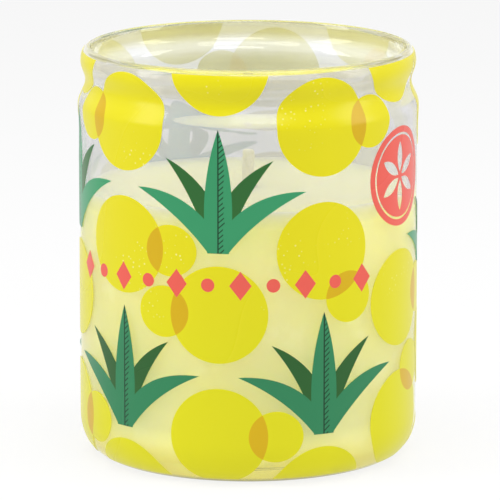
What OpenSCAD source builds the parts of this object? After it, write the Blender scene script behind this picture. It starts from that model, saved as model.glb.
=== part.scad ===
// Citronella candle in a round glass jar: a poured wax fill with one wick on a tin sustainer,
// and a clear shrunk sleeve round the glass, printed with flat colours.
// The jar stands on z = 0 with its axis on z, and the front of the print faces -y.
// Each piece of the print is a thin layer of ink on the sleeve, cut to the outline of its motif.

/* [Jar] */
// Diameter of the straight part of the body
body_d = 80; // [60:1:110]
// Height from the table to the top of the lip
jar_h = 98; // [85:1:140]
// Thickness of the side wall
wall = 2.2; // [1.6:0.1:4]
// Thickness of the floor above the standing ring
floor_t = 4.5; // [3.5:0.5:10]
// Width of the rounded heel, from the standing ring out to the side
heel_w = 6.5; // [4:0.5:10]
// Height of the rounded heel
heel_h = 9.5; // [6:0.5:16]
// Radius of the rounding between the floor and the wall inside
inner_heel_r = 5; // [3:0.5:9]
// Width of the flat standing ring
foot_w = 2; // [1:0.5:4]
// Depth of the hollow under the floor
punt_h = 1.6; // [0.5:0.1:2.5]

/* [Neck and lip] */
// How far the shoulder stands out from the straight side
shoulder_out = 0.2; // [0:0.1:1]
// Depth of the neck groove, from the straight side
groove_in = 1.6; // [0.8:0.1:3]
// Thickness of the glass in the groove
neck_t = 1.2; // [0.8:0.1:2.5]
// How far the bead under the lip lies inside the straight side
bead_in = 0.5; // [0:0.1:1.5]
// From the top of the lip down to the middle of the bead
bead_drop = 3.5; // [3:0.1:5]
// From the top of the lip down to the bottom of the groove
groove_drop = 8; // [7:0.1:11]
// From the top of the lip down to the middle of the shoulder
shoulder_drop = 14; // [13:0.1:18]
// From the top of the lip down to the start of the straight side
side_drop = 20; // [19:0.1:26]
// Straight length of the throat inside the lip
throat_l = 7; // [5:0.5:9]

/* [Wax and wick] */
// From the top of the lip down to the surface of the wax
wax_drop = 34; // [24:1:56]
// How far the wax climbs up the glass as it sets
wax_climb = 0.9; // [0.3:0.1:2]
// Width of the ring of wax that climbs the glass
wax_climb_w = 4; // [2:0.5:8]
// Height of the small collar of wax round the wick
wax_collar_h = 0.8; // [0.3:0.1:2]
// Width of the small collar of wax round the wick
wax_collar_w = 2.5; // [1:0.5:6]
// Diameter of the wick
wick_d = 3; // [2:0.1:5]
// Length of wick above the wax
wick_out = 10; // [5:0.5:14]
// Height of the taper at the tip of the wick
wick_taper = 0.8; // [0.2:0.1:2]

/* [Sustainer] */
// Diameter of the tin disc
sustainer_d = 20; // [14:0.5:35]
// Thickness of the tin
tin_t = 0.3; // [0.2:0.05:0.6]
// Height of the neck that is crimped round the wick
neck_h = 6; // [3:0.5:10]
// How far the adhesive pad lies inside the edge of the disc
pad_margin = 1; // [0.5:0.5:4]
// Thickness of the adhesive pad
pad_t = 0.8; // [0.4:0.1:1.5]

/* [Sleeve] */
// Thickness of the shrunk film
film_t = 0.15; // [0.08:0.01:0.4]
// Thickness of the printed ink
ink_t = 0.1; // [0.05:0.01:0.2]
// Height of the lower edge of the film
film_low = 1.2; // [0.8:0.1:4]
// From the top of the lip down to the upper edge of the film
film_drop = 1; // [0.6:0.1:4]

/* [Print] */
// Least distance from one column of motifs to the next
column_pitch = 25; // [25:0.5:32]
// Turn of the first column from the front, in degrees
first_turn = -10; // [-18:1:18]
// Distance from one motif up to the next in a column
row_step = 29; // [27:0.5:32]
// Height of the lowest motif in an even column
row_z = 12; // [8:0.5:14]
// Diameter of a large disc
disc_d = 23; // [16:0.5:24]
// Diameter of a small disc
small_d = 12.2; // [8:0.1:13]
// From the middle of a large disc to the middle of its small disc
small_reach = 13.2; // [12:0.1:14]
// Diameter of the coral disc
badge_d = 23.6; // [16:0.2:25]
// Distance of the clear ring from the edge of the coral disc
ring_margin = 1.5; // [0.8:0.1:2.5]
// Width of the clear ring
ring_w = 0.6; // [0.3:0.1:1]
// Length of a clear petal in the coral disc
petal_l = 7.5; // [4:0.1:8]
// Width of a clear petal in the coral disc
petal_w = 2.6; // [1:0.1:3.4]
// Number of clear petals in the coral disc
petals = 6; // [4:1:6]
// Height of a tuft of grass
tuft_h = 29; // [20:0.5:30]
// Width of the middle blade
blade_w = 6.6; // [5:0.1:8]
// Length of the darker blade on each side, from the foot of the tuft
mid_blade_l = 23.5; // [18:0.5:28]
// Lean of the darker blades, in degrees
mid_lean = 22; // [18:1:27]
// From the middle of the foot to the axis of a darker blade
mid_foot = 3.8; // [3:0.1:4.6]
// Height above the foot at which the darker blades come out
mid_rise = 3; // [2.5:0.5:5]
// Length of the outer blades, from the foot of the tuft
low_blade_l = 20.5; // [16:0.5:22]
// Lean of the outer blades, in degrees
low_lean = 46; // [40:1:54]
// From the middle of the foot to the axis of an outer blade
low_foot = 5; // [4:0.1:6]
// Width of the side blades
side_blade_w = 4.6; // [3.6:0.1:5.6]
// How far the side blades droop in an arch
droop = 2.4; // [1.6:0.1:3]
// How far each blade would run on below the foot, where it is cut off
blade_root = 10; // [8:0.5:12]
// Height of the row of coral beads
beads_z = 48; // [44:0.5:52]
// Number of beads in the row
beads = 11; // [5:2:11]
// Turn of the first bead from the front, in degrees
beads_from = -68; // [-80:1:-60]
// Turn from one bead to the next, in degrees
bead_turn = 10.9; // [8:0.1:10.9]
// Height of a diamond in the row of beads
diamond_h = 6.8; // [3:0.1:7]
// Width of a diamond in the row of beads
diamond_w = 5.2; // [3:0.1:6]
// Diameter of a round bead in the row
dot_d = 3.2; // [2:0.1:4]

/* [Hidden] */
$fn = 180;

// Points on each curve of the glass
curve_steps = 6;
// Points of an outline lie no nearer to each other than this
least = 0.05;

body_r = body_d / 2;
foot_r = body_r - heel_w;
bead_r = body_r - bead_in;
groove_r = body_r - groove_in;
throat_r = groove_r - neck_t;
inner_r = body_r - wall;
bead_z = jar_h - bead_drop;
groove_z = jar_h - groove_drop;
shoulder_z = jar_h - shoulder_drop;
side_z = jar_h - side_drop;
// The top of the lip lies a little nearer the inside, and its inner edge is rounded less high
lip_t = bead_r - throat_r;
lip_share = 0.75;
lip_top_r = bead_r - lip_t * lip_share;
lip_inner_h = 2;
throat_top = jar_h - lip_inner_h;
throat_low = throat_top - throat_l;
// Height over which the inside eases from the straight side to the throat
throat_ease = 5;

// The sustainer stands on the floor of the jar, and the wick stands on the tin
pad_z = floor_t;
pad_r = sustainer_d / 2 - pad_margin;
tin_z = pad_z + pad_t;
wick_z = tin_z + tin_t;
neck_top = tin_z + neck_h;
neck_r = wick_d / 2 + tin_t;
wax_z = jar_h - wax_drop;
wick_top = wax_z + wick_out;

film_high = jar_h - film_drop;
// Outlines are carried in from outside the ink as far as this radius
stamp_from = body_r * 0.8;
stamp_depth = body_r * 0.3;
// Each clear petal starts this far from the middle of the coral disc
petal_gap = 0.8;
// Two colours that meet leave this hair of clear film between them
ink_gap = 0.05;
// How far the motifs reach from their middles, with a little to spare
reach_margin = 0.5;
disc_reach = disc_d / 2 + reach_margin;
pair_reach = small_reach + small_d / 2 + reach_margin;
tuft_reach = max(tuft_h / 2, low_foot + low_blade_l * sin(low_lean)) + reach_margin;
// An even number of columns goes round the jar, with every other column dropped by half a step
columns = 2 * floor(PI * body_d / (2 * column_pitch));
column_turn = 360 / columns;

// Sites of the print by column and row: tufts of grass, and small discs with their direction
tufts = [[0, 2], [1, 1], [9, 1], [3, 2], [5, 1], [6, 2], [7, 1], [8, 2]];
badge_site = [2, 2];
companions = [[0, 0, 0], [0, 1, 180], [1, 2, 300], [1, 3, 0], [2, 0, 60], [2, 1, 0],
              [3, 3, 120], [4, 0, 180], [4, 1, 60], [4, 3, 240], [5, 3, 0], [6, 0, 0],
              [7, 3, 0], [7, 2, 180], [8, 0, 0], [8, 1, 180], [9, 2, 0], [9, 3, 180]];

// Points of a curve from angle a to angle b on an ellipse about [x, z]
function ellipse(x, z, rx, rz, a, b) =
    [for (i = [0 : curve_steps]) let (t = a + (b - a) * i / curve_steps)
        [x + rx * cos(t), z + rz * sin(t)]];
// Points of an easy S-bend from p to q, without the first one
function bend(p, q) =
    [for (i = [1 : curve_steps]) let (t = i / curve_steps)
        [p[0] + (q[0] - p[0]) * (1 - cos(180 * t)) / 2, p[1] + (q[1] - p[1]) * t]];
function reversed(list) = [for (i = [len(list) - 1 : -1 : 0]) list[i]];

// Outside of the glass from the standing ring up to the top of the lip
outside = concat(
    ellipse(foot_r, heel_h, heel_w, heel_h, -90, 0),
    [[body_r, side_z]],
    bend([body_r, side_z], [body_r + shoulder_out, shoulder_z]),
    bend([body_r + shoulder_out, shoulder_z], [groove_r, groove_z]),
    bend([groove_r, groove_z], [bead_r, bead_z]),
    [for (p = ellipse(lip_top_r, bead_z, bead_r - lip_top_r, bead_drop, 0, 90)) if (p[1] > bead_z) p]);

// Inside of the glass from the middle of the floor up to the side, and on up to the lip
inside_low = concat(
    [[0, floor_t]],
    ellipse(inner_r - inner_heel_r, floor_t + inner_heel_r, inner_heel_r, inner_heel_r, -90, 0));
inside_high = concat(
    [[inner_r, throat_low - throat_ease]],
    bend([inner_r, throat_low - throat_ease], [throat_r, throat_low]),
    [for (p = ellipse(lip_top_r, throat_top, lip_top_r - throat_r, lip_inner_h, 180, 90))
        if (p[1] < jar_h) p]);

// Hollow under the floor, from its middle out to the standing ring
punt_r = foot_r - foot_w;
underside = [for (i = [0 : curve_steps]) let (t = i / curve_steps) [punt_r * t, punt_h * (1 - t * t)]];

// Radius of the outside of the glass at a height
side_points = [for (p = outside) [p[1], p[0]]];
function side_r(z) = lookup(z, side_points);

// Outline of a layer that follows the outside of the glass from z = low to z = high
function skin(near, far, low, high) =
    let (between = [for (p = outside) if (p[1] > low + least && p[1] < high - least) p[1]],
         heights = concat([low], between, [high]))
    concat([for (z = heights) [side_r(z) + near, z]],
           [for (z = reversed(heights)) [side_r(z) + far, z]]);

module glass_jar() {
    color("#e9eeee", 0.4)
        rotate_extrude()
            polygon(concat(underside, outside, reversed(inside_high), reversed(inside_low)));
}

// Points of wax creeping up to x over a width, from its level surface up to h above it
function creep(x, width, h) =
    [for (i = [0 : curve_steps]) let (t = i / curve_steps) [x + width * (1 - t), wax_z + h * t * t]];

// Outline of the wax: over the sustainer, along the floor, up the glass and back across the top
module wax_fill() {
    color("#f2efad")
        rotate_extrude()
            polygon(concat(
                [[wick_d / 2, neck_top], [neck_r, neck_top], [neck_r, wick_z], [sustainer_d / 2, wick_z],
                 [sustainer_d / 2, tin_z], [pad_r, tin_z], [pad_r, pad_z]],
                [for (p = inside_low) if (p[0] > pad_r) p],
                reversed(creep(inner_r, -wax_climb_w, wax_climb)),
                creep(wick_d / 2, wax_collar_w, wax_collar_h)));
}

module wick() {
    color("#eae6b4") {
        translate([0, 0, wick_z])
            cylinder(d = wick_d, h = wick_top - wick_taper - wick_z);
        translate([0, 0, wick_top - wick_taper])
            cylinder(d1 = wick_d, d2 = wick_d - wick_taper, h = wick_taper);
    }
}

module wick_sustainer() {
    color("#c6c9cc")
        rotate_extrude()
            polygon([[0, tin_z], [sustainer_d / 2, tin_z], [sustainer_d / 2, wick_z], [neck_r, wick_z],
                     [neck_r, neck_top], [wick_d / 2, neck_top], [wick_d / 2, wick_z], [0, wick_z]]);
}

module sustainer_pad() {
    color("#f4f4f2")
        translate([0, 0, pad_z])
            cylinder(r = pad_r, h = pad_t);
}

module printed_sleeve() {
    color("#f7f7f7", 0.3)
        rotate_extrude()
            polygon(skin(0, film_t, film_low, film_high));
}

// An outline that stands upright before the jar, carried in through the ink
module stamp(turn, z) {
    rotate([0, 0, turn])
        translate([0, 0, z])
            rotate([90, 0, 0])
                translate([0, 0, stamp_from])
                    linear_extrude(stamp_depth)
                        children();
}
// The ink of an outline that reaches no further than reach from its middle
module printed(turn, z, reach) {
    span = 2 * asin(reach / stamp_from);
    intersection() {
        rotate([0, 0, turn - 90 - span / 2])
            rotate_extrude(angle = span)
                polygon(skin(film_t, film_t + ink_t, max(film_low, z - reach), min(film_high, z + reach)));
        stamp(turn, z)
            children();
    }
}

function site_turn(site) = first_turn + column_turn * site[0];
function site_z(site) = row_z + row_step * (site[1] - (site[0] % 2) / 2);
function same(a, b) = a[0] == b[0] && a[1] == b[1];
function is_in(site, list) = len([for (s = list) if (same(s, site)) s]) > 0;
function ways(site) = [for (s = companions) if (same(s, site)) s[2]];
// Every site that the sleeve reaches, and those that carry a disc
sites = [for (c = [0 : columns - 1]) for (r = [0 : ceil(jar_h / row_step)])
    if (site_z([c, r]) < film_high + disc_d / 2) [c, r]];
discs = [for (s = sites) if (!is_in(s, tufts) && !same(s, badge_site)) s];

module disc(grown = 0) {
    circle(d = disc_d + 2 * grown);
}
module small_discs(site, grown = 0) {
    for (way = ways(site))
        rotate(way)
            translate([small_reach, 0])
                circle(d = small_d + 2 * grown);
}

module print_yellow() {
    color("#e9dc32")
        difference() {
            for (s = discs) {
                printed(site_turn(s), site_z(s), disc_reach)
                    difference() {
                        disc();
                        small_discs(s, ink_gap);
                    }
                if (len(ways(s)) > 0)
                    printed(site_turn(s), site_z(s), pair_reach)
                        difference() {
                            small_discs(s);
                            disc(ink_gap);
                        }
            }
            bead_row();
        }
}

// Where a small disc is printed over a large one, the two yellows make amber
module print_amber() {
    color("#dab00c")
        difference() {
            for (s = discs)
                if (len(ways(s)) > 0)
                    printed(site_turn(s), site_z(s), disc_reach)
                        intersection() {
                            disc();
                            small_discs(s);
                        }
            bead_row();
        }
}

// A round whose edge runs from [0, 0] to [0, length] and bows out by bow, to the right if positive
module bowed(length, bow) {
    r = (length * length / 4 + bow * bow) / (2 * abs(bow));
    translate([bow - sign(bow) * r, length / 2])
        circle(r = r);
}
// A straight blade between two such edges
module leaf(length, width) {
    intersection() {
        bowed(length, width / 2);
        bowed(length, -width / 2);
    }
}
// A blade that arches over to the side, 1 for the right and -1 for the left
module arched_blade(length, width, arch, side) {
    difference() {
        bowed(length, -side * (arch + width));
        bowed(length, -side * arch);
    }
}

// A tuft of grass: its middle blade, an outer blade on each side, and a darker one between them
module above_foot(rise) {
    translate([-tuft_h, rise])
        square(2 * tuft_h);
}
module side_blade(side, start, lean, length, grown) {
    translate([side * start, 0])
        rotate(-side * lean)
            translate([0, -blade_root - grown])
                arched_blade(blade_root + length + 2 * grown, side_blade_w + 2 * grown, droop - grown, side);
}
module middle_blade(grown = 0) {
    intersection() {
        translate([0, -blade_root - grown])
            leaf(blade_root + tuft_h + 2 * grown, blade_w + 2 * grown);
        above_foot(-grown);
    }
}
module low_blade(side, grown = 0) {
    intersection() {
        side_blade(side, low_foot, low_lean, low_blade_l, grown);
        above_foot(-grown);
    }
}
module dark_blade(side) {
    intersection() {
        side_blade(side, mid_foot, mid_lean, mid_blade_l, 0);
        above_foot(mid_rise);
    }
}
// Each tuft's share of an outline given from its foot, with room for the row of beads
module on_tufts() {
    difference() {
        for (s = tufts)
            if (s[0] < columns)
                printed(site_turn(s), site_z(s), tuft_reach)
                    translate([0, -tuft_h / 2])
                        children();
        bead_row();
    }
}

module print_green() {
    color("#49a077") {
        on_tufts()
            middle_blade();
        for (side = [-1, 1])
            on_tufts()
                difference() {
                    low_blade(side);
                    middle_blade(ink_gap);
                }
    }
}

module print_dark_green() {
    color("#32733c")
        for (side = [-1, 1])
            on_tufts()
                difference() {
                    dark_blade(side);
                    middle_blade(ink_gap);
                    low_blade(side, ink_gap);
                }
}

function bead_at(i) = beads_from + bead_turn * i;
module bead(i) {
    if (i % 2 == 0)
        polygon([[-diamond_w / 2, 0], [0, -diamond_h / 2], [diamond_w / 2, 0], [0, diamond_h / 2]]);
    else
        circle(d = dot_d);
}
// A row of diamonds and dots across the front, as a shape to cut with
module bead_row() {
    for (i = [0 : beads - 1])
        stamp(bead_at(i), beads_z)
            bead(i);
}

// The coral disc with its clear ring and petals
module badge() {
    ring_r = badge_d / 2 - ring_margin;
    difference() {
        circle(d = badge_d);
        difference() {
            circle(r = ring_r);
            circle(r = ring_r - ring_w);
        }
        for (i = [0 : petals - 1])
            rotate(360 / petals * i)
                translate([0, petal_gap])
                    leaf(petal_l, petal_w);
    }
}

module print_coral() {
    color("#e8685a") {
        printed(site_turn(badge_site), site_z(badge_site), badge_d / 2 + reach_margin)
            badge();
        for (i = [0 : beads - 1])
            printed(bead_at(i), beads_z, diamond_h / 2 + reach_margin)
                bead(i);
    }
}

glass_jar();
wax_fill();
wick();
wick_sustainer();
sustainer_pad();
printed_sleeve();
print_yellow();
print_amber();
print_green();
print_dark_green();
print_coral();
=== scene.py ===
# %% [markdown]
# A citronella candle in a round glass jar, dressed round its imported CAD model.

# %% Load the frame
import math

import bmesh
import bpy
from mathutils import Matrix, Vector


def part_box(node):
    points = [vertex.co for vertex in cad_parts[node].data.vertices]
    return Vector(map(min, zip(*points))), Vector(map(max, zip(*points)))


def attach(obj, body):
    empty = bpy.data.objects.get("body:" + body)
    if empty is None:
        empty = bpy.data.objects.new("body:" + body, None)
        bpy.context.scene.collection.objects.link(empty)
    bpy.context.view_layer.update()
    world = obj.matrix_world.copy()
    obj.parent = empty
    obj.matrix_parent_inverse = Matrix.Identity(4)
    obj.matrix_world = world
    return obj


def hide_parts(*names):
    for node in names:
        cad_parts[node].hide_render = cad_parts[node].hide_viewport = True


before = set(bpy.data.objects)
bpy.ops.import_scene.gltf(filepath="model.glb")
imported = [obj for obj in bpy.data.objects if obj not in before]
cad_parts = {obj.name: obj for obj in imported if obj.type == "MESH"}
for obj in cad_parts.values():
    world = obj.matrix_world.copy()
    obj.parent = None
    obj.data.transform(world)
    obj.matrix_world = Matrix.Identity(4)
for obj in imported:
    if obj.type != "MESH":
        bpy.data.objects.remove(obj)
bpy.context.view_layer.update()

MM = 0.001
print("nodes:", sorted(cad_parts))

# %% [markdown]
# The main sizes repeat the named values of the part's source, in millimetres, because this script
# reads nothing but the frame. The height of the jar is read from the frame, and its width is printed
# beside the one written here, so that a reader notices if the two drift apart.

# %% Sizes of the jar
jar_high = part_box("glass_jar")[1]
jar_h = round(jar_high.z / MM, 2)
body_d = 80.0
body_r = body_d / 2
wall = 2.2
floor_t = 4.5
heel_w = 6.5
heel_h = 9.5
inner_heel_r = 5.0
foot_w = 2.0
punt_h = 1.6
shoulder_out = 0.2
neck_t = 1.2
bead_r = body_r - 0.5
groove_r = body_r - 1.6
bead_drop = 3.5
bead_z = jar_h - bead_drop
groove_z = jar_h - 8
shoulder_z = jar_h - 14
side_z = jar_h - 20
throat_r = groove_r - neck_t
inner_r = body_r - wall
foot_r = body_r - heel_w
punt_r = foot_r - foot_w
lip_share = 0.75
lip_top_r = bead_r - (bead_r - throat_r) * lip_share
lip_inner_h = 2.0
throat_top = jar_h - lip_inner_h
throat_low = throat_top - 7
throat_ease = 5.0
print("jar", jar_h, "mm high, body", body_d, "mm, widest", round(2 * jar_high.x / MM, 2), "mm in the frame")

# %% [markdown]
# The wax fills about two thirds of the jar. The tin that holds the wick stands on its pad on the
# floor of the jar, and the wick goes from there up through the wax and a little way out of it.

# %% Sizes of the wax and wick
wax_z = jar_h - 34
wax_climb = 0.9
wax_climb_w = 4.0
wax_collar_h = 0.8
wax_collar_w = 2.5
wick_d = 3.0
wick_r = wick_d / 2
wick_out = 10.0
wick_top = wax_z + wick_out
sustainer_r = 10.0
pad_r = sustainer_r - 1
tin_z = floor_t + 0.8
wick_z = tin_z + 0.3
neck_top = tin_z + 6
neck_r = wick_r + 0.3
print("wax surface at", wax_z, "mm, tip of the wick at", wick_top, "mm")

# %% [markdown]
# A turned piece is drawn as its half outline and spun about the axis, as a glassmaker's mould or a
# lathe would make it. The outlines here are the same curves as in the CAD source with more points,
# because a clear, glossy surface shows every facet.

# %% Curves of an outline
CURVE_STEPS = 14


def between(p, q, across, up):
    """The point that lies a share across and a share up on the way from p to q."""
    return p[0] + (q[0] - p[0]) * across, p[1] + (q[1] - p[1]) * up


def ellipse(x, z, rx, rz, start, end, steps=CURVE_STEPS):
    """Points from angle start to angle end, in degrees, on an ellipse about (x, z)."""
    angles = [math.radians(start + (end - start) * i / steps) for i in range(steps + 1)]
    return [(x + rx * math.cos(a), z + rz * math.sin(a)) for a in angles]


def bend(p, q, steps=CURVE_STEPS):
    """Points of an easy S-bend from p to q, without p itself."""
    shares = [i / steps for i in range(1, steps + 1)]
    return [between(p, q, (1 - math.cos(math.pi * t)) / 2, t) for t in shares]


def straight(p, q, steps):
    """Points from p to q on a straight line, without p and q."""
    return [between(p, q, i / steps, i / steps) for i in range(1, steps)]


# %% [markdown]
# The outside goes up from the foot: a round heel, the straight side, a soft shoulder, a groove and
# the bead. The inside is drawn in two parts, because the wax follows only the lower one. Under the
# floor is a shallow hollow, which keeps the jar on its rim of glass.

# %% The outside, the inside and the underside of the glass
HEEL_STEPS = 20
SIDE_STEPS = 8
SHOULDER_STEPS = 5
UNDERSIDE_STEPS = 8

outside = ellipse(foot_r, heel_h, heel_w, heel_h, -90, 0, HEEL_STEPS)
outside += straight((body_r, heel_h), (body_r, side_z), SIDE_STEPS) + [(body_r, side_z)]
outside += bend((body_r, side_z), (body_r + shoulder_out, shoulder_z), SHOULDER_STEPS)
outside += bend((body_r + shoulder_out, shoulder_z), (groove_r, groove_z))
outside += bend((groove_r, groove_z), (bead_r, bead_z))
outside += ellipse(lip_top_r, bead_z, bead_r - lip_top_r, bead_drop, 0, 90)[1:]

inside_low = [(0, floor_t)]
inside_low += ellipse(inner_r - inner_heel_r, floor_t + inner_heel_r, inner_heel_r, inner_heel_r, -90, 0)
inside_high = [(inner_r, throat_low - throat_ease)]
inside_high += bend((inner_r, throat_low - throat_ease), (throat_r, throat_low))
inside_high += ellipse(lip_top_r, throat_top, lip_top_r - throat_r, lip_inner_h, 180, 90)[:-1]
shares = [i / UNDERSIDE_STEPS for i in range(UNDERSIDE_STEPS + 1)]
underside = [(punt_r * t, punt_h * (1 - t ** 2)) for t in shares]
print("points outside", len(outside), "inside", len(inside_low) + len(inside_high))

# %% [markdown]
# The film and the ink follow the outside of the glass. Their outlines are read off it at many
# heights, so that the layers keep their distance from each other round every curve.

# %% A layer on the outside of the glass
END_GAP = 0.05


def side_r(z):
    """Radius of the outside of the glass at height z."""
    for (r0, z0), (r1, z1) in zip(outside, outside[1:]):
        if z0 <= z <= z1 and z1 > z0:
            return r0 + (r1 - r0) * (z - z0) / (z1 - z0)
    return outside[-1][0]


def skin(near, far, low, high, most=2.0):
    """Outline of a layer from near to far outside the glass, with steps of at most so many mm."""
    heights = [low] + [z for r, z in outside if low + END_GAP < z < high - END_GAP] + [high]
    fine = []
    for a, b in zip(heights, heights[1:]):
        parts = max(1, math.ceil((b - a) / most))
        fine += [a + (b - a) * i / parts for i in range(parts)]
    fine.append(high)
    return [(side_r(z) + near, z) for z in fine] + [(side_r(z) + far, z) for z in reversed(fine)]


print("radius at mid height", side_r(jar_h / 2), "mm, in the groove", round(side_r(groove_z), 2), "mm")

# %% [markdown]
# These helpers work as a person would in the Blender window: start from a primitive, shrink it to
# one point, extrude the point along the outline, and spin the line about the axis. Everything is
# deselected first, because operators act on all that is selected.

# %% Start a piece and draw an outline
SAME_PLACE = 1e-7
WELD = 2e-6


def deselect():
    if bpy.context.mode != "OBJECT":
        bpy.ops.object.mode_set(mode="OBJECT")
    bpy.ops.object.select_all(action="DESELECT")


def only(obj):
    """Select this one object and make it the active one."""
    deselect()
    obj.select_set(True)
    bpy.context.view_layer.objects.active = obj


def draw_outline(name, points):
    """A new object whose mesh is one closed line through points, each a Vector in metres."""
    deselect()
    bpy.ops.mesh.primitive_plane_add(size=MM, location=(0, 0, 0))
    obj = bpy.context.object
    obj.name = name
    bpy.ops.object.mode_set(mode="EDIT")
    bpy.ops.mesh.merge(type="CENTER")
    bpy.ops.transform.translate(value=points[0])
    for here, there in zip(points, points[1:]):
        bpy.ops.mesh.extrude_region_move(TRANSFORM_OT_translate={"value": there - here})
    mesh = bmesh.from_edit_mesh(obj.data)
    for vert in mesh.verts:
        to_ends = min((vert.co - points[0]).length, (vert.co - points[-1]).length)
        vert.select = to_ends < SAME_PLACE
    mesh.select_flush(True)
    bmesh.update_edit_mesh(obj.data)
    bpy.ops.mesh.edge_face_add()
    return obj


def closed_off():
    """End an edit: all faces are turned outwards, which needs all of them selected."""
    bpy.ops.mesh.select_all(action="SELECT")
    bpy.ops.mesh.normals_make_consistent(inside=False)
    bpy.ops.object.mode_set(mode="OBJECT")


def turned(name, outline, steps):
    """Spin an outline of (radius, height) in millimetres about the axis into a closed solid."""
    obj = draw_outline(name, [Vector((r * MM, 0, z * MM)) for r, z in outline])
    bpy.ops.mesh.select_all(action="SELECT")
    bpy.ops.mesh.spin(steps=steps, angle=2 * math.pi, use_auto_merge=True, center=(0, 0, 0), axis=(0, 0, 1))
    bpy.ops.mesh.select_all(action="SELECT")
    bpy.ops.mesh.remove_doubles(threshold=WELD)
    bpy.ops.mesh.delete_loose(use_verts=True, use_edges=True, use_faces=False)
    closed_off()
    return obj


# %% [markdown]
# Every piece is checked as it is handed over. A closed solid has two faces at each edge, so the
# count of open edges should be nought, and its volume shows at a glance if it came out inside out.

# %% Smooth, measure and hand over a piece
def smooth(obj, angle):
    """Shade as smooth where faces meet at less than an angle in degrees."""
    only(obj)
    bpy.ops.object.shade_smooth_by_angle(angle=math.radians(angle))


def measured(obj):
    """Print what a piece measures, and how many open edges it has."""
    places = [v.co for v in obj.data.vertices]
    size = [round((max(c[i] for c in places) - min(c[i] for c in places)) / MM, 2) for i in range(3)]
    mesh = bmesh.new()
    mesh.from_mesh(obj.data)
    loose = sum(1 for e in mesh.edges if len(e.link_faces) != 2)
    volume = mesh.calc_volume(signed=True) / MM ** 3
    mesh.free()
    triangles = sum(len(p.vertices) - 2 for p in obj.data.polygons)
    print(obj.name, size, "mm,", triangles, "triangles,", loose, "open edges,", round(volume, 1), "mm3")


def finished(obj, slot, *nodes):
    """Hand a piece over: it rides on the one body and stands for its CAD nodes. The slot is not used."""
    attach(obj, "root")
    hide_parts(*nodes)
    measured(obj)


def coated(obj, *materials):
    """Give a piece these materials and no others."""
    obj.data.materials.clear()
    for material in materials:
        obj.data.materials.append(material)


# %% [markdown]
# Shader maths is easier to read as sums than as a web of nodes. A Wire is one output socket of a
# node; adding or multiplying wires adds Math nodes.

# %% Wires
class Wire:
    def __init__(self, finish, socket):
        self.finish = finish
        self.socket = socket

    def __add__(self, other):
        return self.finish.math("ADD", self, other)

    __radd__ = __add__

    def __sub__(self, other):
        return self.finish.math("SUBTRACT", self, other)

    def __rsub__(self, other):
        return self.finish.math("SUBTRACT", other, self)

    def __mul__(self, other):
        return self.finish.math("MULTIPLY", self, other)

    __rmul__ = __mul__

    def __truediv__(self, other):
        return self.finish.math("DIVIDE", self, other)

    def __gt__(self, other):
        return self.finish.math("GREATER_THAN", self, other)

    def __lt__(self, other):
        return self.finish.math("LESS_THAN", self, other)


# %% [markdown]
# A Finish is one material, or the world, as nodes. Its node method adds any node from its type, its
# settings and its sockets, and the short methods below it are the few kinds that are used again and
# again. Patterns read the place on the object, in metres, so they sit still on each piece.

# %% Finishes
WHITE = (1, 1, 1, 1)
BLACK = (0, 0, 0, 1)


class Finish:
    def __init__(self, name, holder=None, output="ShaderNodeOutputMaterial"):
        self.holder = holder or bpy.data.materials.new(name)
        self.holder.use_nodes = True
        self.tree = self.holder.node_tree
        self.tree.nodes.clear()
        self.output = self.tree.nodes.new(output)

    def node(self, kind, settings=None, inputs=None, out=0):
        """Add a node of that kind: its settings first, then values or wires to its sockets."""
        node = self.tree.nodes.new(kind)
        for key, value in (settings or {}).items():
            setattr(node, key, value)
        for key, value in (inputs or {}).items():
            socket = node.inputs[key]
            if isinstance(value, Wire):
                self.tree.links.new(value.socket, socket)
            else:
                socket.default_value = value
        return Wire(self, node.outputs[out])

    def math(self, operation, *values):
        return self.node("ShaderNodeMath", {"operation": operation}, dict(enumerate(values)))

    def mix(self, factor, a, b):
        """A colour between a and b."""
        return self.node("ShaderNodeMix", {"data_type": "RGBA"}, {0: factor, 6: a, 7: b}, out=2)

    def choose(self, factor, a, b):
        """Shader a where the factor is 0, and shader b where it is 1."""
        return self.node("ShaderNodeMixShader", None, {0: factor, 1: a, 2: b})

    def place(self):
        return self.node("ShaderNodeTexCoord", out="Object")

    def axis(self, name):
        """The place along X, Y or Z, in metres."""
        return self.node("ShaderNodeSeparateXYZ", None, {"Vector": self.place()}, out=name)

    def stretched(self, x, y, z):
        return self.node("ShaderNodeMapping", None, {"Vector": self.place(), "Scale": (x, y, z)})

    def noise(self, scale, detail=2.0, roughness=0.5, where=None):
        inputs = {"Vector": where or self.place(), "Scale": scale, "Detail": detail, "Roughness": roughness}
        return self.node("ShaderNodeTexNoise", None, inputs)

    def ramp(self, value, low, high):
        """The value carried from low..high to 0..1, and clamped."""
        inputs = {"Value": value, "From Min": low, "From Max": high}
        return self.node("ShaderNodeMapRange", {"clamp": True}, inputs)

    def above(self, low, high):
        """0 up to one height on the candle and 1 from another, both in millimetres."""
        return self.ramp(self.axis("Z"), low * MM, high * MM)

    def bump(self, height, strength, distance):
        inputs = {"Height": height, "Strength": strength, "Distance": distance}
        return self.node("ShaderNodeBump", None, inputs)

    def principled(self, **inputs):
        named = {key.replace("_", " "): value for key, value in inputs.items()}
        return self.node("ShaderNodeBsdfPrincipled", None, named)

    def ray(self, kind):
        """1 for a ray of this kind, such as Camera or Shadow, and 0 for any other."""
        return self.node("ShaderNodeLightPath", out=f"Is {kind} Ray")

    def show(self, shader):
        """Link the last shader to the output, and give back the finished material."""
        self.tree.links.new(shader.socket, self.output.inputs["Surface"])
        print("finish", self.holder.name, "of", len(self.tree.nodes), "nodes")
        return self.holder


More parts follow.
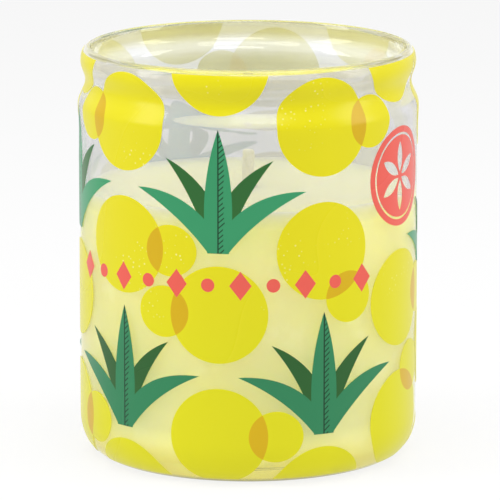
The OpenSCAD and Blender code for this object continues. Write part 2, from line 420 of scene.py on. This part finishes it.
def srgb(r, g, b):
    """A colour given in 0..255, as the linear numbers that shaders take."""
    linear = [c / 255 / 12.92 if c <= 10.3 else ((c / 255 + 0.055) / 1.055) ** 2.4 for c in (r, g, b)]
    return (*linear, 1.0)


# %% [markdown]
# The jar is clear soda glass. Seen closely it isn't perfect: the mould leaves a faint waviness, so a low
# bump bends the reflections a little. Its colour also carries painted light: the heel is painted with the
# wax's yellow, a painted reflection of the wax in the thick glass; the foot has a thin painted shadow where
# it meets the floor; and the lip is painted a little warm, a painted reflection of the yellow print.
#
# Two choices between clear glass and plain air follow the kind of ray. Lamp rays pass straight
# through, which keeps the wax lit without the noise of caustics. Rays past the fourth bounce are let
# out straight too, because without that a dark line ran round the back of the rim.

# %% Clear glass
# Heights in millimetres of the painted light in the glass's colour: a painted reflection in the heel, a
# painted shadow at the foot and a painted reflection in the lip.
HEEL_PAINTED_REFLECTION = (4, 11)
FOOT_PAINTED_SHADOW = (0.6, 1.6)
LIP_PAINTED_REFLECTION = (92.5, 95)
MOST_BOUNCES = 4

glass = Finish("clear_glass")
waves = glass.noise(70, 1.5, 0.4, glass.stretched(1, 1, 0.45))
# Painted reflection: the heel is painted with the wax's yellow.
glass_tint_and_painted_light = glass.mix(1 - glass.above(*HEEL_PAINTED_REFLECTION), srgb(252, 254, 253), srgb(243, 237, 168))
# Painted shadow: a thin dark contact shadow is painted round the foot.
glass_tint_and_painted_light = glass.mix(1 - glass.above(*FOOT_PAINTED_SHADOW), glass_tint_and_painted_light, srgb(70, 66, 24))
# Painted reflection: the lip is painted a little warm, like the yellow print seen in it.
glass_tint_and_painted_light = glass.mix(glass.above(*LIP_PAINTED_REFLECTION), glass_tint_and_painted_light, srgb(242, 240, 204))
glass_skin = glass.principled(Base_Color=glass_tint_and_painted_light, Roughness=0.02, IOR=1.5,
                              Transmission_Weight=1.0, Normal=glass.bump(waves, 0.25, 0.0004))
open_air = glass.node("ShaderNodeBsdfTransparent", None, {"Color": WHITE})
deep_ray = glass.node("ShaderNodeLightPath", out="Ray Depth") > MOST_BOUNCES
glass_lit = glass.choose(deep_ray, glass_skin, open_air)
clear_glass = glass.show(glass.choose(glass.ray("Shadow"), glass_lit, open_air))

# %% [markdown]
# The jar itself is spun from its outline: a heavy floor with a hollow under it, a round heel, a
# straight side, a shoulder, a groove and a beaded lip. Many steps round keep its edge a true circle.

# %% The glass jar
JAR_TURNS = 256
ROUND_UNDER = 40

glass_outline = underside + outside + inside_high[::-1] + inside_low[::-1]
jar = turned("jar_glass", glass_outline, JAR_TURNS)
smooth(jar, ROUND_UNDER)
coated(jar, clear_glass)
finished(jar, "clear_glass", "glass_jar")

# %% [markdown]
# Wax is cloudy and lets light in a little way, so it has subsurface scattering, with a slow mottle of
# two near yellows and some paler blotches. In the lowest few millimetres it has a low glow of its
# own, which stands for light that a thick glass heel carries into the wax. It is a choice for the
# picture: without it the heel rendered grey.

# %% Yellow wax
PIPED_LIGHT_H = 8

wax = Finish("yellow_wax")
cloud = wax.noise(38, 3, 0.55)
grain = wax.noise(900, 2, 0.5)
blotch = wax.noise(120, 3, 0.6)
wax_colour = wax.mix(wax.ramp(cloud, 0.35, 0.65), srgb(238, 234, 146), srgb(242, 238, 160))
wax_colour = wax.mix(wax.ramp(blotch, 0.56, 0.72) * 0.35, wax_colour, srgb(253, 250, 196))
piped_light = wax.mix(wax.above(floor_t, floor_t + PIPED_LIGHT_H), srgb(165, 160, 92), BLACK)
wax_skin = wax.principled(Base_Color=wax_colour, IOR=1.44,
                          Roughness=wax.ramp(cloud, 0.2, 0.8) * 0.15 + 0.38,
                          Subsurface_Weight=0.85, Subsurface_Scale=0.02,
                          Subsurface_Radius=(1.0, 0.9, 0.45),
                          Emission_Color=piped_light, Emission_Strength=1.0,
                          Normal=wax.bump(grain * 0.25 + blotch, 0.25, 0.0003))
yellow_wax = wax.show(wax_skin)

# %% [markdown]
# The wax is poured hot and shrinks as it sets, so it creeps up the glass at its edge and up the wick
# in the middle. Where it touches the glass it lies a hair inside the glass's own surface, so that
# light goes from glass into wax with no air between them, as it does in a full jar. It is one spun
# solid, with the room for the tin, the pad and the wick left out of its outline.

# %% The wax fill
CREEP_STEPS = 10
WAX_SIDE_STEPS = 14
WAX_TOP_STEPS = 10
WAX_TURNS = 192
contact = 0.04
floor_level = floor_t + 0.01


def creep(x, width, h):
    """Points of wax that creeps up to x over a width, from its level surface up to h above it."""
    shares = [i / CREEP_STEPS for i in range(CREEP_STEPS + 1)]
    return [(x + width * (1 - t), wax_z + h * t ** 2) for t in shares]


wax_r = inner_r + contact
wax_outline = [(wick_r, neck_top), (neck_r, neck_top), (neck_r, wick_z), (sustainer_r, wick_z)]
wax_outline += [(sustainer_r, tin_z), (pad_r, tin_z), (pad_r, floor_t - contact)]
for r, z in inside_low:
    if r > pad_r:
        wax_outline.append((r + contact * (z > floor_t), z - contact * (z <= floor_level)))
wax_outline += straight((wax_r, floor_t + inner_heel_r), (wax_r, wax_z + wax_climb), WAX_SIDE_STEPS)
wax_outline += creep(wax_r, -wax_climb_w, wax_climb)[::-1]
wax_outline += straight((inner_r - wax_climb_w, wax_z), (wick_r + wax_collar_w, wax_z), WAX_TOP_STEPS)
wax_outline += creep(wick_r, wax_collar_w, wax_collar_h)
fill = turned("wax_poured", wax_outline, WAX_TURNS)
smooth(fill, ROUND_UNDER)
coated(fill, yellow_wax)
finished(fill, "yellow_wax", "wax_fill")

# %% [markdown]
# The wick is cotton that was drawn through wax. Fine fibres run along it, so its noise is stretched
# upwards, and wax soaks it unevenly, which a second and larger noise tints.

# %% Waxed cotton
cotton = Finish("waxed_cotton")
fibre = cotton.noise(2600, 3, 0.6, cotton.stretched(1, 1, 0.3))
soak = cotton.noise(300, 2)
cotton_colour = cotton.mix(cotton.ramp(fibre, 0.35, 0.7), srgb(214, 208, 140), srgb(240, 236, 196))
cotton_colour = cotton.mix(cotton.ramp(soak, 0.5, 0.7) * 0.5, cotton_colour, srgb(222, 214, 136))
cotton_skin = cotton.principled(Base_Color=cotton_colour, Roughness=0.55,
                                Normal=cotton.bump(fibre, 0.5, 0.00015))
waxed_cotton = cotton.show(cotton_skin)

# %% [markdown]
# The cord is three twisted strands. A ring with three lobes is extruded upwards in short steps and
# turned a little at each step, which gives the strands their helix. The last short steps shrink it
# to a blunt tip.

# %% The wick
LOBES = 3
LOBE_DEPTH = 0.14
RING_POINTS = 48
WICK_STEPS = 56
TWIST = 13
TIP = ((0.5, 0.93), (0.2, 0.85), (0.1, 0.8))
CREASE_OVER = 50

ring = []
for i in range(RING_POINTS):
    angle = 2 * math.pi * i / RING_POINTS
    r = wick_r * (1 - LOBE_DEPTH + LOBE_DEPTH * abs(math.cos(LOBES * angle / 2)))
    ring.append(Vector((r * math.cos(angle) * MM, r * math.sin(angle) * MM, wick_z * MM)))
wick = draw_outline("wick_cord", ring)
bpy.ops.mesh.select_all(action="SELECT")
bpy.ops.mesh.edge_face_add()
tip_h = sum(rise for rise, share in TIP)
step_up = (wick_top - tip_h - wick_z) / WICK_STEPS
for i in range(WICK_STEPS):
    bpy.ops.mesh.extrude_region_move(TRANSFORM_OT_translate={"value": (0, 0, step_up * MM)})
    bpy.ops.transform.rotate(value=math.radians(TWIST), orient_axis="Z", center_override=(0, 0, 0))
for rise, share in TIP:
    bpy.ops.mesh.extrude_region_move(TRANSFORM_OT_translate={"value": (0, 0, rise * MM)})
    bpy.ops.transform.resize(value=(share, share, 1), center_override=(0, 0, wick_top * MM))
closed_off()
smooth(wick, CREASE_OVER)
coated(wick, waxed_cotton)
finished(wick, "waxed_cotton", "wick")

# %% [markdown]
# The sustainer and its pad are sealed in the wax. Their CAD shapes are right as they are, so the
# two nodes stay and only take a finish: brushed tin, and a foam pad with adhesive on both faces.

# %% Tin and adhesive
metal = Finish("tin_plate")
brushed = metal.noise(900, 2, 0.5, metal.stretched(1, 8, 1))
tin = metal.show(metal.principled(Base_Color=metal.mix(brushed, srgb(186, 188, 190), srgb(208, 210, 212)),
                                  Metallic=1.0, Roughness=metal.ramp(brushed, 0.2, 0.8) * 0.2 + 0.25,
                                  Normal=metal.bump(brushed, 0.1, 0.0001)))
foam = Finish("foam_pad")
cells = foam.noise(1800, 2, 0.6)
adhesive = foam.show(foam.principled(Base_Color=foam.mix(cells, srgb(228, 228, 224), srgb(246, 246, 243)),
                                     Roughness=0.7, Normal=foam.bump(cells, 0.5, 0.0002)))
for node_name, material in (("wick_sustainer", tin), ("sustainer_pad", adhesive)):
    coated(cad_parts[node_name], material)
    print(node_name, "takes", material.name)

# %% [markdown]
# The sleeve is a clear shrunk film. It is a thin closed shell, a hair off the glass so that the two
# surfaces don't fight. Shrinking leaves fine marks up the film and a faint haze, which shows most
# above the wax, where there is nothing bright behind it.

# %% Clear film
film_low = 1.2
film_high = jar_h - 1
film_near = 0.02
film_far = 0.13
HAZE_EASE = 3

film = Finish("clear_film")
stretch_marks = film.noise(160, 3, 0.55, film.stretched(1, 1, 0.25))
haze = film.ramp(film.noise(45, 3, 0.5), 0.3, 0.7)
above_wax = film.above(wax_z - HAZE_EASE, wax_z + HAZE_EASE)
film_skin = film.principled(Base_Color=srgb(226, 224, 229), IOR=1.5, Roughness=haze * 0.1 + 0.1,
                            Alpha=haze * 0.03 + 0.03 + above_wax * 0.25,
                            Normal=film.bump(stretch_marks, 0.15, 0.0002))
clear_film = film.show(film_skin)
sleeve = turned("sleeve_film", skin(film_near, film_far, film_low, film_high), JAR_TURNS)
smooth(sleeve, ROUND_UNDER)
coated(sleeve, clear_film)
finished(sleeve, "clear_film", "printed_sleeve")

# %% [markdown]
# The print is flat fields of ink on the sleeve: large discs in staggered columns, a small disc
# beside some of them, tufts of grass, one coral disc and a row of beads. A site is a column and a
# row. A companion is a site and the way, in degrees, in which its small disc lies.

# %% Where the motifs go
columns = 10
rows = 5
first_turn = -10
row_step = 29.0
row_z = 12.0
disc_r = 23.0 / 2
small_r = 12.2 / 2
small_reach = 13.2
badge_r = 23.6 / 2
tuft_h = 29.0
tufts = [(0, 2), (1, 1), (9, 1), (3, 2), (5, 1), (6, 2), (7, 1), (8, 2)]
badge_site = (2, 2)
companions = [(0, 0, 0), (0, 1, 180), (1, 2, 300), (1, 3, 0), (2, 0, 60), (2, 1, 0),
              (3, 3, 120), (4, 0, 180), (4, 1, 60), (4, 3, 240), (5, 3, 0), (6, 0, 0),
              (7, 3, 0), (7, 2, 180), (8, 0, 0), (8, 1, 180), (9, 2, 0), (9, 3, 180)]


def site_place(column, row):
    """Turn from the front in degrees, and height in millimetres, of a motif."""
    return first_turn + 360 / columns * column, row_z + row_step * (row - (column % 2) / 2)


sites = [(c, r) for c in range(columns) for r in range(rows) if site_place(c, r)[1] < film_high + disc_r]
discs = [s for s in sites if s not in tufts and s != badge_site]
print(len(discs), "large discs,", len(companions), "small discs,", len(tufts), "tufts")

# %% [markdown]
# A motif is drawn flat, extruded into a stamp that reaches through the layer of ink, and then
# copied to each of its sites. The stamps work as cutters: a Boolean keeps the ink inside them, so a
# field has a clean edge at any distance and bends with the jar.

# %% Flat outlines
def round_line(radius, count):
    """Points of a circle about (0, 0)."""
    turns = [2 * math.pi * i / count for i in range(count)]
    return [(radius * math.cos(t), radius * math.sin(t)) for t in turns]


def bowed(length, bow, count=24):
    """Points of an arc from (0, 0) to (0, length) that bows out by bow, to the right if positive."""
    r = (length * length / 4 + bow * bow) / (2 * abs(bow))
    side = math.copysign(1, bow)
    half = math.asin(length / 2 / r)
    turns = [half * (2 * i / count - 1) for i in range(count + 1)]
    return [(bow - side * r + side * r * math.cos(t), length / 2 + r * math.sin(t)) for t in turns]


def placed(points, turn, x, y):
    """Points turned by an angle in degrees and then moved."""
    c, s = math.cos(math.radians(turn)), math.sin(math.radians(turn))
    return [(px * c - py * s + x, px * s + py * c + y) for px, py in points]


# %% Stamps
STAMP_FROM = 32.0
STAMP_DEPTH = 12.0
UPRIGHT = Matrix.Rotation(math.radians(90), 4, "X")


def joined(name, parts):
    """Join parts into the first of them, under a new name."""
    deselect()
    for part in parts:
        part.select_set(True)
    bpy.context.view_layer.objects.active = parts[0]
    if len(parts) > 1:
        bpy.ops.object.join()
    parts[0].name = name
    return parts[0]


def stamps(name, points, places):
    """A flat outline made a block that reaches through the ink, at each place (turn, height)."""
    block = draw_outline("block", [Vector((x * MM, y * MM, STAMP_FROM * MM)) for x, y in points])
    bpy.ops.mesh.select_all(action="SELECT")
    bpy.ops.mesh.edge_face_add()
    bpy.ops.mesh.extrude_region_move(TRANSFORM_OT_translate={"value": (0, 0, STAMP_DEPTH * MM)})
    closed_off()
    copies = []
    for turn, z in places:
        copy = block.copy()
        copy.data = block.data.copy()
        bpy.context.collection.objects.link(copy)
        to_site = Matrix.Rotation(math.radians(turn), 4, "Z") @ Matrix.Translation((0, 0, z * MM))
        copy.data.transform(to_site @ UPRIGHT)
        copies.append(copy)
    bpy.data.objects.remove(block)
    return joined(name, copies)


print("a stamp reaches from", STAMP_FROM, "to", STAMP_FROM + STAMP_DEPTH, "mm from the axis")

# %% [markdown]
# One layer of ink is spun round the jar, and every colour is cut from a copy of it. It stands clear
# of the film, and has more steps round than the jar so that the cut edges run smoothly.

# %% The layer of ink
INK_TURNS = 360
INK_STEP = 1.6
ink_near = 0.16
ink_far = 0.25
ink_margin = 0.05

ink_outline = skin(ink_near, ink_far, film_low + ink_margin, film_high - ink_margin, INK_STEP)
layer = turned("ink_layer", ink_outline, INK_TURNS)
measured(layer)


def cut(*steps):
    """A copy of the ink layer, cut in steps of (operation, cutter)."""
    obj = layer.copy()
    obj.data = layer.data.copy()
    bpy.context.collection.objects.link(obj)
    only(obj)
    for operation, cutter in steps:
        boolean = obj.modifiers.new("cut", "BOOLEAN")
        boolean.operation = operation
        boolean.solver = "MANIFOLD"
        boolean.object = cutter
        bpy.ops.object.modifier_apply(modifier=boolean.name)
    return obj


# %% [markdown]
# The discs are the plainest motif. Small discs that lie the same way from their large one share a
# stamp. The row of beads takes turns between a diamond and a dot.

# %% Discs and beads
DISC_POINTS = 120
SMALL_POINTS = 72
DOT_POINTS = 40
beads_z = 48.0
bead_count = 11
bead_first = -68
bead_step = 10.9
dot_r = 1.6
diamond = [(-2.6, 0), (0, -3.4), (2.6, 0), (0, 3.4)]

large = stamps("stamp_large", round_line(disc_r, DISC_POINTS), [site_place(*s) for s in discs])
small_parts = []
for way in sorted({c[2] for c in companions}):
    middle = placed([(small_reach, 0)], way, 0, 0)[0]
    outline = placed(round_line(small_r, SMALL_POINTS), 0, *middle)
    places = [site_place(*c[:2]) for c in companions if c[2] == way]
    small_parts.append(stamps("stamp_small", outline, places))
small = joined("stamp_small", small_parts)

bead_places = [(bead_first + bead_step * i, beads_z) for i in range(bead_count)]
diamonds = stamps("stamp_diamonds", diamond, bead_places[::2])
dots = stamps("stamp_dots", round_line(dot_r, DOT_POINTS), bead_places[1::2])
bead_row = joined("stamp_beads", [diamonds, dots])
print("stamps for", len(discs), "discs,", len(companions), "small discs and", bead_count, "beads")

# %% [markdown]
# A tuft is five blades that share one foot. Every blade is a field between two arcs that meet at
# its tip. The arcs run on below the foot, where the blade is cut off, so that it is broad there as
# a blade of grass is, and slender at its tip.

# %% Blades of grass
blade_w = 6.6
side_blade_w = 4.6
droop = 2.4
blade_root = 10.0
tuft_places = [site_place(*s) for s in tufts]


def cut_off(points, height):
    """A closed outline without what lies below a height."""
    kept = []
    for p, q in zip(points, points[1:] + points[:1]):
        if p[1] >= height:
            kept.append(p)
        if (p[1] >= height) != (q[1] >= height):
            share = (height - p[1]) / (q[1] - p[1])
            kept.append((p[0] + (q[0] - p[0]) * share, height))
    return kept


def blade(length, bow_left, bow_right, lean=0.0, start=0.0, rise=0.0):
    """Outline of a blade from the foot of its tuft, between two arcs that bow out to the right."""
    arcs = bowed(length + blade_root, bow_right) + bowed(length + blade_root, bow_left)[-2:0:-1]
    leaning = placed(placed(arcs, 0, 0, -blade_root), lean, start, 0)
    return placed(cut_off(leaning, rise), 0, 0, -tuft_h / 2)


def side_blades(name, length, lean, start, rise=0.0):
    """The stamps of one kind of blade, to the right and to the left."""
    pair = []
    for side in (1, -1):
        inner, outer = -side * droop, -side * (droop + side_blade_w)
        outline = blade(length, inner, outer, -side * lean, side * start, rise)
        pair.append(stamps(name, outline, tuft_places))
    return joined(name, pair)


middle_blades = stamps("stamp_middle", blade(tuft_h, -blade_w / 2, blade_w / 2), tuft_places)
low_blades = side_blades("stamp_low", length=20.5, lean=46, start=5.0)
dark_blades = side_blades("stamp_dark", length=23.5, lean=22, start=3.8, rise=3.0)
print("stamps for", 5 * len(tufts), "blades")

# %% [markdown]
# The coral disc is a ring with a narrow gap inside it, and a disc with six petals left open. Each
# petal is a field between two arcs, set a little off the middle and turned round it.

# %% The coral disc
PETALS = 6
rim_w = 1.5
gap_w = 0.6
petal_l = 7.5
petal_bow = 1.3
petal_start = 0.8

badge_place = [site_place(*badge_site)]
badge_edge = stamps("stamp_badge", round_line(badge_r, DISC_POINTS), badge_place)
ring_outer = stamps("ring_outer", round_line(badge_r - rim_w, DISC_POINTS), badge_place)
ring_inner = stamps("ring_inner", round_line(badge_r - rim_w - gap_w, DISC_POINTS), badge_place)
petal = placed(bowed(petal_l, petal_bow, 16) + bowed(petal_l, -petal_bow, 16)[-2:0:-1], 0, 0, petal_start)
petal_turns = [360 / PETALS * i for i in range(PETALS)]
petals = joined("stamp_petals", [stamps("petal", placed(petal, t, 0, 0), badge_place) for t in petal_turns])
print("stamp for a disc of", 2 * badge_r, "mm with", PETALS, "petals")

# %% [markdown]
# Where a small disc is printed over a large one, the two yellows make amber. The other colours
# lie side by side. Each colour ends up as one piece, like one station of the printing press.

# %% Cut the five colours
over_beads = ("DIFFERENCE", bead_row)
yellow_parts = [cut(("INTERSECT", large), ("DIFFERENCE", small), over_beads),
                cut(("INTERSECT", small), ("DIFFERENCE", large), over_beads)]
print_yellow = joined("print_yellow_ink", yellow_parts)
print_amber = joined("print_amber_ink", [cut(("INTERSECT", large), ("INTERSECT", small), over_beads)])
green_parts = [cut(("INTERSECT", middle_blades), over_beads),
               cut(("INTERSECT", low_blades), ("DIFFERENCE", middle_blades), over_beads)]
print_green = joined("print_green_ink", green_parts)
dark_part = cut(("INTERSECT", dark_blades), ("DIFFERENCE", middle_blades),
                ("DIFFERENCE", low_blades), over_beads)
print_dark = joined("print_dark_green_ink", [dark_part])
coral_parts = [cut(("INTERSECT", badge_edge), ("DIFFERENCE", ring_outer)),
               cut(("INTERSECT", ring_inner), ("DIFFERENCE", petals)),
               cut(("INTERSECT", bead_row))]
print_coral = joined("print_coral_ink", coral_parts)
tools = (layer, large, small, bead_row, middle_blades, low_blades, dark_blades,
         badge_edge, ring_outer, ring_inner, petals)
for tool in tools:
    bpy.data.objects.remove(tool)
print("five colours cut,", len(tools), "tools put away")

# %% [markdown]
# A blade in the print has a dark midrib and short slanted strokes on one side of it. They follow
# the columns round the jar, so the pattern takes the angle about the axis, repeats it for each
# column, and turns it into millimetres across the column.

# %% Veins of a blade
MIDRIB_EDGE = (0.12, 0.22)
STROKE_EDGE = (0.22, 0.34)
stroke_step = 1.25
stroke_slope = 0.9


def veins(finish):
    """1 on the midrib and the strokes up the middle of each column, and 0 beside them."""
    x, y, z = [finish.axis(name) for name in "XYZ"]
    column_turn = 360 / columns
    column_w = math.radians(column_turn) * body_r
    turn = finish.math("ARCTAN2", x, y * -1) / math.radians(column_turn) - first_turn / column_turn + 0.5
    across = (finish.math("FRACT", turn) - 0.5) * column_w
    midrib = 1 - finish.ramp(finish.math("ABSOLUTE", across), *MIDRIB_EDGE)
    slant = (z / MM - across * stroke_slope) / stroke_step
    stroke = 1 - finish.ramp(finish.math("FRACT", slant), *STROKE_EDGE)
    reach = finish.noise(500, 1, 0.5) * 1.6 + 0.5
    beside = (across > 0) * (across < reach)
    return finish.math("MAXIMUM", midrib, stroke * beside)


# %% [markdown]
# Ink on film is even, with a faint mottle and a soft gloss. The yellow has pale pin dots in places, and
# three of the inks have a painted shade, a touch darker low on the jar. The side that faces the glass is
# backed with white, so the back of the print looks washed out when it is seen through the mouth.
#
# Lamp rays and bounced rays pass through the ink with a slight tint, so that the wax behind it stays
# bright. That is more than real ink lets through, and is a choice for the picture. Both choices come
# straight from a Light Path, because the export then knows the ink as closed.

# %% Face and back of an ink
LOW_INK_PAINTED_SHADE = (30, 60)
THROUGH_TINT = 0.14
BACKING_GLOW = 0.6
VEIN_COLOUR = (12, 48, 28)
VEIN_SHARE = 0.95
PORE_COLOUR = (253, 250, 190)


def lamp_lit(finish, shader, light):
    """Lamp light and bounced light pass through ink and take a little of its colour."""
    tint = tuple(1 - THROUGH_TINT + THROUGH_TINT * c for c in srgb(*light)[:3]) + (1,)
    through = finish.node("ShaderNodeBsdfTransparent", None, {"Color": tint})
    for kind in ("Diffuse", "Shadow"):
        shader = finish.choose(finish.ray(kind), shader, through)
    return shader


def ink(name, light, deep, pores=0.0, veined=False, low=None):
    """The outer face of a field of ink, with pin dots, veins or a painted shade on its lower half if asked.
    """
    finish = Finish(name)
    mottle = finish.ramp(finish.noise(18, 1, 0.4), 0.2, 0.8)
    colour = finish.mix(mottle, srgb(*deep), srgb(*light))
    if pores:
        voronoi = {"Vector": finish.place(), "Scale": 800}
        cells = finish.node("ShaderNodeTexVoronoi", None, voronoi, out="Distance")
        dots = (1 - finish.ramp(cells, 0.12, 0.21)) * finish.ramp(finish.noise(70, 1, 0.4), 0.56, 0.66)
        colour = finish.mix(dots * pores, colour, srgb(*PORE_COLOUR))
    # Painted shade: the ink is painted darker low on the jar.
    if low:
        colour = finish.mix(1 - finish.above(*LOW_INK_PAINTED_SHADE), colour, srgb(*low))
    if veined:
        colour = finish.mix(veins(finish) * VEIN_SHARE, colour, srgb(*VEIN_COLOUR))
    fine = finish.noise(1500, 2, 0.5)
    face = finish.principled(Base_Color=colour, Roughness=mottle * 0.08 + 0.24, IOR=1.5,
                             Specular_IOR_Level=0.28, Normal=finish.bump(fine, 0.05, 0.00005))
    return finish.show(lamp_lit(finish, face, light))


def ink_back(name, light, deep):
    """The inner face of a field: its white backing glows with the light that falls on the print."""
    finish = Finish(name)
    mottle = finish.ramp(finish.noise(18, 1, 0.4), 0.2, 0.8)
    face = finish.principled(Base_Color=finish.mix(mottle, srgb(*deep), srgb(*light)),
                             Roughness=0.5, Specular_IOR_Level=0.2)
    glow = finish.node("ShaderNodeBsdfTranslucent", None, {"Color": srgb(*light)})
    return finish.show(lamp_lit(finish, finish.choose(BACKING_GLOW, face, glow), light))


# %% [markdown]
# Each row of the table is one colour: its piece, the light and deep colour of its face, the light
# and deep colour of its back, and what else its face asks for. Faces that look at the axis take the
# back, and all others, the thin edges of the fields among them, take the face.

# %% Ink the print
FACES_AXIS = -0.5
EDGE_UNDER = 30
# The colours given as low are painted shade: each ink painted darker low on the jar.
colours = (
    ("yellow", print_yellow, (228, 218, 6), (222, 211, 3),
     (246, 243, 184), (244, 240, 176), {"pores": 0.6, "low": (220, 215, 8)}),
    ("amber", print_amber, (216, 178, 1), (208, 168, 1),
     (242, 228, 150), (238, 224, 142), {}),
    ("green", print_green, (60, 160, 108), (48, 142, 94),
     (150, 198, 170), (142, 190, 162), {"veined": True, "low": (44, 128, 84)}),
    ("dark_green", print_dark, (46, 112, 48), (38, 96, 40),
     (140, 178, 148), (132, 170, 140), {"low": (38, 92, 38)}),
    ("coral", print_coral, (234, 98, 84), (228, 90, 78),
     (246, 216, 208), (242, 210, 202), {}),
)
for name, obj, light, deep, back_light, back_deep, extras in colours:
    front = ink(f"{name}_ink", light, deep, **extras)
    back = ink_back(f"{name}_back", back_light, back_deep)
    smooth(obj, EDGE_UNDER)
    coated(obj, front, back)
    for face in obj.data.polygons:
        spot = face.center.xy
        outward = face.normal.x * spot.x + face.normal.y * spot.y
        face.material_index = 1 if outward < FACES_AXIS * spot.length else 0
    finished(obj, f"{name}_ink", f"print_{name}")

# %% [markdown]
# The candle stands on a wide pale floor. Rays that look straight at the floor, or see it in glass or
# gloss, find it mostly plain white, and the rest is a lit floor that keeps the candle's shadow. For
# rays that carry light between surfaces it is half white, which lights the heel from below.

# %% Floor
FLOOR_SIZE = 6
FLOOR_PLACE = (0, 1.2, -0.0003)
SEEN_WHITE = 0.8
GLOW_UP = 0.5


def looked_at(finish):
    """1 for rays that see the surface, directly or in gloss or glass, and 0 for rays that light."""
    camera_or_gloss = finish.math("MAXIMUM", finish.ray("Camera"), finish.ray("Glossy"))
    return finish.math("MAXIMUM", camera_or_gloss, finish.ray("Transmission"))


deselect()
bpy.ops.mesh.primitive_plane_add(size=FLOOR_SIZE, location=FLOOR_PLACE)
floor = bpy.context.object
floor.name = "floor"
ground = Finish("pale_floor")
floor_lit = ground.node("ShaderNodeBsdfDiffuse", None, {"Color": (0.92, 0.92, 0.92, 1)})
floor_white = ground.node("ShaderNodeEmission", None, {"Color": WHITE, "Strength": 1.0})
white_share = ground.math("MAXIMUM", looked_at(ground) * SEEN_WHITE, ground.ray("Diffuse") * GLOW_UP)
coated(floor, ground.show(ground.choose(white_share, floor_lit, floor_white)))

# %% [markdown]
# Round it is a plain white surround, as in a product photograph. Seen, it is white; as a lamp it has
# half that strength, so it lights the candle softly from all sides without washing out its colours.

# %% Surround
SURROUND_LIGHT = 0.5

world = bpy.data.worlds.new("soft_surround")
bpy.context.scene.world = world
surround = Finish("soft_surround", world, "ShaderNodeOutputWorld")
levels = {"Value": looked_at(surround), "To Min": SURROUND_LIGHT, "To Max": 1.0}
strength = surround.node("ShaderNodeMapRange", None, levels)
surround.show(surround.node("ShaderNodeBackground", None, {"Color": WHITE, "Strength": strength}))

# %% [markdown]
# Four softboxes give the glass its soft highlights: one on each side, one overhead, and one high in
# front. Each is aimed at the middle of the jar.

# %% Lamps
AIM = Vector((0, 0, 0.05))
softboxes = (("left_softbox", (-0.62, -0.2, 0.4), (0.25, 0.6), 1.9),
             ("right_softbox", (0.66, -0.12, 0.36), (0.25, 0.6), 1.6),
             ("top_softbox", (0, -0.1, 0.8), (0.7, 0.5), 2.6),
             ("front_softbox", (0.1, -0.8, 0.75), (0.6, 0.3), 2.0))
for name, place, size, power in softboxes:
    light = bpy.data.lights.new(name, "AREA")
    light.shape = "RECTANGLE"
    light.size, light.size_y = size
    light.energy = power
    lamp = bpy.data.objects.new(name, light)
    bpy.context.collection.objects.link(lamp)
    lamp.location = place
    lamp.rotation_euler = (AIM - Vector(place)).to_track_quat("-Z", "Y").to_euler()
    print(name, "of", power, "W")

# %% [markdown]
# The camera looks slightly down on the candle from straight in front, from far enough away to keep
# the sides of the jar nearly parallel, as the photograph does.

# %% Camera
TILT = math.radians(11.5)
DISTANCE = 1.2
target = Vector((0, 0, 0.048))
view = bpy.data.cameras.new("camera")
view.sensor_width = 36
view.lens = 362
view.shift_x = 0.0034
view.shift_y = 0.003
view.clip_start = 0.01
camera = bpy.data.objects.new("camera", view)
bpy.context.collection.objects.link(camera)
camera.location = target + DISTANCE * Vector((0, -math.cos(TILT), math.sin(TILT)))
camera.rotation_euler = (target - camera.location).to_track_quat("-Z", "Y").to_euler()
bpy.context.scene.camera = camera
bpy.context.scene.view_settings.view_transform = "Standard"
print("camera", DISTANCE, "m away, lens", view.lens, "mm")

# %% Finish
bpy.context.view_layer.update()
